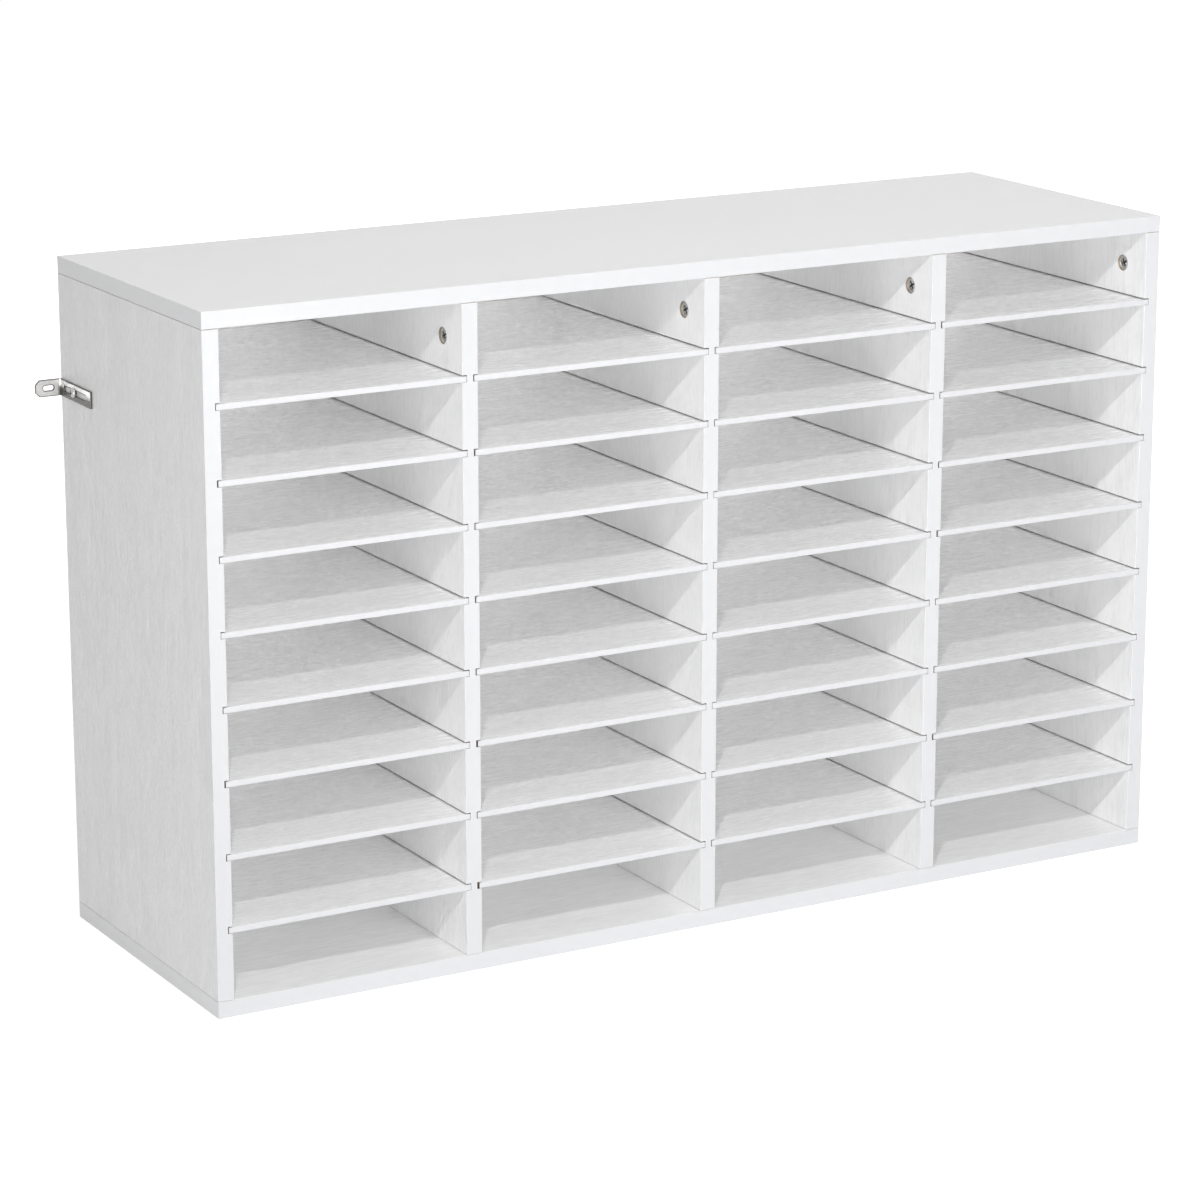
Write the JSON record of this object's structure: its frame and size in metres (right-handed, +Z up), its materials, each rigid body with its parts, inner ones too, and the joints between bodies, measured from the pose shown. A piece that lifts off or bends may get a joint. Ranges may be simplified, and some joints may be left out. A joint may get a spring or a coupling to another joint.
{
  "type": "pigeonhole mail sorter",
  "caption": "Open-fronted white cabinet of pigeonholes for sorting mail: thin shelves slide in grooves of upright boards joined by cam locks, with slotted wall brackets.",
  "frame": {"origin": "on the floor, under the middle of the cabinet's footprint", "axes": "+X to the right seen from the open front, +Y from the open front to the wall, +Z up"},
  "size_m": [1.0204, 0.305, 0.61],
  "materials": {
    "board": "white woodgrain foil, satin",
    "shelf_board": "white woodgrain foil, satin",
    "back_board": "white painted fibreboard",
    "cam_zinc": "die-cast zinc",
    "bolt_steel": "zinc plated",
    "bracket_nickel": "nickel plated"
  },
  "bodies": {
    "carcass": {"top_panel": "board", "bottom_panel": "board", "back_panel": "back_board", "left_side_panel": "board", "divider_1_panel": "board", "divider_2_panel": "board", "divider_3_panel": "board", "right_side_panel": "board", "cam_bolt_left_side_front": "bolt_steel", "cam_bolt_divider_1_front": "bolt_steel", "cam_bolt_divider_2_front": "bolt_steel", "cam_bolt_divider_3_front": "bolt_steel", "cam_bolt_right_side_front": "bolt_steel", "left_bracket_screw": "bracket_nickel", "right_bracket_screw": "bracket_nickel"},
    "cam_lock_left_side_front": {"cam_lock_left_side_front": "cam_zinc"},
    "cam_lock_divider_1_front": {"cam_lock_divider_1_front": "cam_zinc"},
    "cam_lock_divider_2_front": {"cam_lock_divider_2_front": "cam_zinc"},
    "cam_lock_divider_3_front": {"cam_lock_divider_3_front": "cam_zinc"},
    "cam_lock_right_side_front": {"cam_lock_right_side_front": "cam_zinc"},
    "cam_lock_left_side_rear": {"cam_lock_left_side_rear": "cam_zinc"},
    "cam_lock_divider_1_rear": {"cam_lock_divider_1_rear": "cam_zinc"},
    "cam_lock_divider_2_rear": {"cam_lock_divider_2_rear": "cam_zinc"},
    "cam_lock_divider_3_rear": {"cam_lock_divider_3_rear": "cam_zinc"},
    "cam_lock_right_side_rear": {"cam_lock_right_side_rear": "cam_zinc"},
    "left_wall_bracket": {"left_wall_bracket": "bracket_nickel"},
    "right_wall_bracket": {"right_wall_bracket": "bracket_nickel"},
    "shelf_c1_r1": {"shelf_c1_r1": "shelf_board"},
    "shelf_c1_r2": {"shelf_c1_r2": "shelf_board"},
    "shelf_c1_r3": {"shelf_c1_r3": "shelf_board"},
    "shelf_c1_r4": {"shelf_c1_r4": "shelf_board"},
    "shelf_c1_r5": {"shelf_c1_r5": "shelf_board"},
    "shelf_c1_r6": {"shelf_c1_r6": "shelf_board"},
    "shelf_c1_r7": {"shelf_c1_r7": "shelf_board"},
    "shelf_c1_r8": {"shelf_c1_r8": "shelf_board"},
    "shelf_c2_r1": {"shelf_c2_r1": "shelf_board"},
    "shelf_c2_r2": {"shelf_c2_r2": "shelf_board"},
    "shelf_c2_r3": {"shelf_c2_r3": "shelf_board"},
    "shelf_c2_r4": {"shelf_c2_r4": "shelf_board"},
    "shelf_c2_r5": {"shelf_c2_r5": "shelf_board"},
    "shelf_c2_r6": {"shelf_c2_r6": "shelf_board"},
    "shelf_c2_r7": {"shelf_c2_r7": "shelf_board"},
    "shelf_c2_r8": {"shelf_c2_r8": "shelf_board"},
    "shelf_c3_r1": {"shelf_c3_r1": "shelf_board"},
    "shelf_c3_r2": {"shelf_c3_r2": "shelf_board"},
    "shelf_c3_r3": {"shelf_c3_r3": "shelf_board"},
    "shelf_c3_r4": {"shelf_c3_r4": "shelf_board"},
    "shelf_c3_r5": {"shelf_c3_r5": "shelf_board"},
    "shelf_c3_r6": {"shelf_c3_r6": "shelf_board"},
    "shelf_c3_r7": {"shelf_c3_r7": "shelf_board"},
    "shelf_c3_r8": {"shelf_c3_r8": "shelf_board"},
    "shelf_c4_r1": {"shelf_c4_r1": "shelf_board"},
    "shelf_c4_r2": {"shelf_c4_r2": "shelf_board"},
    "shelf_c4_r3": {"shelf_c4_r3": "shelf_board"},
    "shelf_c4_r4": {"shelf_c4_r4": "shelf_board"},
    "shelf_c4_r5": {"shelf_c4_r5": "shelf_board"},
    "shelf_c4_r6": {"shelf_c4_r6": "shelf_board"},
    "shelf_c4_r7": {"shelf_c4_r7": "shelf_board"},
    "shelf_c4_r8": {"shelf_c4_r8": "shelf_board"}
  },
  "joints": [
    {"name": "cam_lock_left_side_front_turn", "type": "hinge", "parent": "carcass", "child": "cam_lock_left_side_front", "pos_m": [-0.4775, -0.1175, 0.5618], "axis": [-1, 0, 0], "range_deg": [0, 150]},
    {"name": "cam_lock_divider_1_front_turn", "type": "hinge", "parent": "carcass", "child": "cam_lock_divider_1_front", "pos_m": [-0.23875, -0.1175, 0.5618], "axis": [1, 0, 0], "range_deg": [0, 150]},
    {"name": "cam_lock_divider_2_front_turn", "type": "hinge", "parent": "carcass", "child": "cam_lock_divider_2_front", "pos_m": [0, -0.1175, 0.5618], "axis": [1, 0, 0], "range_deg": [0, 150]},
    {"name": "cam_lock_divider_3_front_turn", "type": "hinge", "parent": "carcass", "child": "cam_lock_divider_3_front", "pos_m": [0.23875, -0.1175, 0.5618], "axis": [1, 0, 0], "range_deg": [0, 150]},
    {"name": "cam_lock_right_side_front_turn", "type": "hinge", "parent": "carcass", "child": "cam_lock_right_side_front", "pos_m": [0.4775, -0.1175, 0.5618], "axis": [1, 0, 0], "range_deg": [0, 150]},
    {"name": "cam_lock_left_side_rear_turn", "type": "hinge", "parent": "carcass", "child": "cam_lock_left_side_rear", "pos_m": [-0.4775, 0.1081, 0.5618], "axis": [-1, 0, 0], "range_deg": [0, 150]},
    {"name": "cam_lock_divider_1_rear_turn", "type": "hinge", "parent": "carcass", "child": "cam_lock_divider_1_rear", "pos_m": [-0.23875, 0.1081, 0.5618], "axis": [1, 0, 0], "range_deg": [0, 150]},
    {"name": "cam_lock_divider_2_rear_turn", "type": "hinge", "parent": "carcass", "child": "cam_lock_divider_2_rear", "pos_m": [0, 0.1081, 0.5618], "axis": [1, 0, 0], "range_deg": [0, 150]},
    {"name": "cam_lock_divider_3_rear_turn", "type": "hinge", "parent": "carcass", "child": "cam_lock_divider_3_rear", "pos_m": [0.23875, 0.1081, 0.5618], "axis": [1, 0, 0], "range_deg": [0, 150]},
    {"name": "cam_lock_right_side_rear_turn", "type": "hinge", "parent": "carcass", "child": "cam_lock_right_side_rear", "pos_m": [0.4775, 0.1081, 0.5618], "axis": [1, 0, 0], "range_deg": [0, 150]},
    {"name": "left_wall_bracket_slide", "type": "slide", "parent": "carcass", "child": "left_wall_bracket", "axis": [0, 1, 0], "range_m": [-0.0195, 0.0265]},
    {"name": "right_wall_bracket_slide", "type": "slide", "parent": "carcass", "child": "right_wall_bracket", "axis": [0, 1, 0], "range_m": [-0.0195, 0.0265]},
    {"name": "shelf_c1_r1_slide", "type": "slide", "parent": "carcass", "child": "shelf_c1_r1", "axis": [0, -1, 0], "range_m": [0, 0.25]},
    {"name": "shelf_c1_r2_slide", "type": "slide", "parent": "carcass", "child": "shelf_c1_r2", "axis": [0, -1, 0], "range_m": [0, 0.25]},
    {"name": "shelf_c1_r3_slide", "type": "slide", "parent": "carcass", "child": "shelf_c1_r3", "axis": [0, -1, 0], "range_m": [0, 0.25]},
    {"name": "shelf_c1_r4_slide", "type": "slide", "parent": "carcass", "child": "shelf_c1_r4", "axis": [0, -1, 0], "range_m": [0, 0.25]},
    {"name": "shelf_c1_r5_slide", "type": "slide", "parent": "carcass", "child": "shelf_c1_r5", "axis": [0, -1, 0], "range_m": [0, 0.25]},
    {"name": "shelf_c1_r6_slide", "type": "slide", "parent": "carcass", "child": "shelf_c1_r6", "axis": [0, -1, 0], "range_m": [0, 0.25]},
    {"name": "shelf_c1_r7_slide", "type": "slide", "parent": "carcass", "child": "shelf_c1_r7", "axis": [0, -1, 0], "range_m": [0, 0.25]},
    {"name": "shelf_c1_r8_slide", "type": "slide", "parent": "carcass", "child": "shelf_c1_r8", "axis": [0, -1, 0], "range_m": [0, 0.25]},
    {"name": "shelf_c2_r1_slide", "type": "slide", "parent": "carcass", "child": "shelf_c2_r1", "axis": [0, -1, 0], "range_m": [0, 0.25]},
    {"name": "shelf_c2_r2_slide", "type": "slide", "parent": "carcass", "child": "shelf_c2_r2", "axis": [0, -1, 0], "range_m": [0, 0.25]},
    {"name": "shelf_c2_r3_slide", "type": "slide", "parent": "carcass", "child": "shelf_c2_r3", "axis": [0, -1, 0], "range_m": [0, 0.25]},
    {"name": "shelf_c2_r4_slide", "type": "slide", "parent": "carcass", "child": "shelf_c2_r4", "axis": [0, -1, 0], "range_m": [0, 0.25]},
    {"name": "shelf_c2_r5_slide", "type": "slide", "parent": "carcass", "child": "shelf_c2_r5", "axis": [0, -1, 0], "range_m": [0, 0.25]},
    {"name": "shelf_c2_r6_slide", "type": "slide", "parent": "carcass", "child": "shelf_c2_r6", "axis": [0, -1, 0], "range_m": [0, 0.25]},
    {"name": "shelf_c2_r7_slide", "type": "slide", "parent": "carcass", "child": "shelf_c2_r7", "axis": [0, -1, 0], "range_m": [0, 0.25]},
    {"name": "shelf_c2_r8_slide", "type": "slide", "parent": "carcass", "child": "shelf_c2_r8", "axis": [0, -1, 0], "range_m": [0, 0.25]},
    {"name": "shelf_c3_r1_slide", "type": "slide", "parent": "carcass", "child": "shelf_c3_r1", "axis": [0, -1, 0], "range_m": [0, 0.25]},
    {"name": "shelf_c3_r2_slide", "type": "slide", "parent": "carcass", "child": "shelf_c3_r2", "axis": [0, -1, 0], "range_m": [0, 0.25]},
    {"name": "shelf_c3_r3_slide", "type": "slide", "parent": "carcass", "child": "shelf_c3_r3", "axis": [0, -1, 0], "range_m": [0, 0.25]},
    {"name": "shelf_c3_r4_slide", "type": "slide", "parent": "carcass", "child": "shelf_c3_r4", "axis": [0, -1, 0], "range_m": [0, 0.25]},
    {"name": "shelf_c3_r5_slide", "type": "slide", "parent": "carcass", "child": "shelf_c3_r5", "axis": [0, -1, 0], "range_m": [0, 0.25]},
    {"name": "shelf_c3_r6_slide", "type": "slide", "parent": "carcass", "child": "shelf_c3_r6", "axis": [0, -1, 0], "range_m": [0, 0.25]},
    {"name": "shelf_c3_r7_slide", "type": "slide", "parent": "carcass", "child": "shelf_c3_r7", "axis": [0, -1, 0], "range_m": [0, 0.25]},
    {"name": "shelf_c3_r8_slide", "type": "slide", "parent": "carcass", "child": "shelf_c3_r8", "axis": [0, -1, 0], "range_m": [0, 0.25]},
    {"name": "shelf_c4_r1_slide", "type": "slide", "parent": "carcass", "child": "shelf_c4_r1", "axis": [0, -1, 0], "range_m": [0, 0.25]},
    {"name": "shelf_c4_r2_slide", "type": "slide", "parent": "carcass", "child": "shelf_c4_r2", "axis": [0, -1, 0], "range_m": [0, 0.25]},
    {"name": "shelf_c4_r3_slide", "type": "slide", "parent": "carcass", "child": "shelf_c4_r3", "axis": [0, -1, 0], "range_m": [0, 0.25]},
    {"name": "shelf_c4_r4_slide", "type": "slide", "parent": "carcass", "child": "shelf_c4_r4", "axis": [0, -1, 0], "range_m": [0, 0.25]},
    {"name": "shelf_c4_r5_slide", "type": "slide", "parent": "carcass", "child": "shelf_c4_r5", "axis": [0, -1, 0], "range_m": [0, 0.25]},
    {"name": "shelf_c4_r6_slide", "type": "slide", "parent": "carcass", "child": "shelf_c4_r6", "axis": [0, -1, 0], "range_m": [0, 0.25]},
    {"name": "shelf_c4_r7_slide", "type": "slide", "parent": "carcass", "child": "shelf_c4_r7", "axis": [0, -1, 0], "range_m": [0, 0.25]},
    {"name": "shelf_c4_r8_slide", "type": "slide", "parent": "carcass", "child": "shelf_c4_r8", "axis": [0, -1, 0], "range_m": [0, 0.25]}
  ]
}
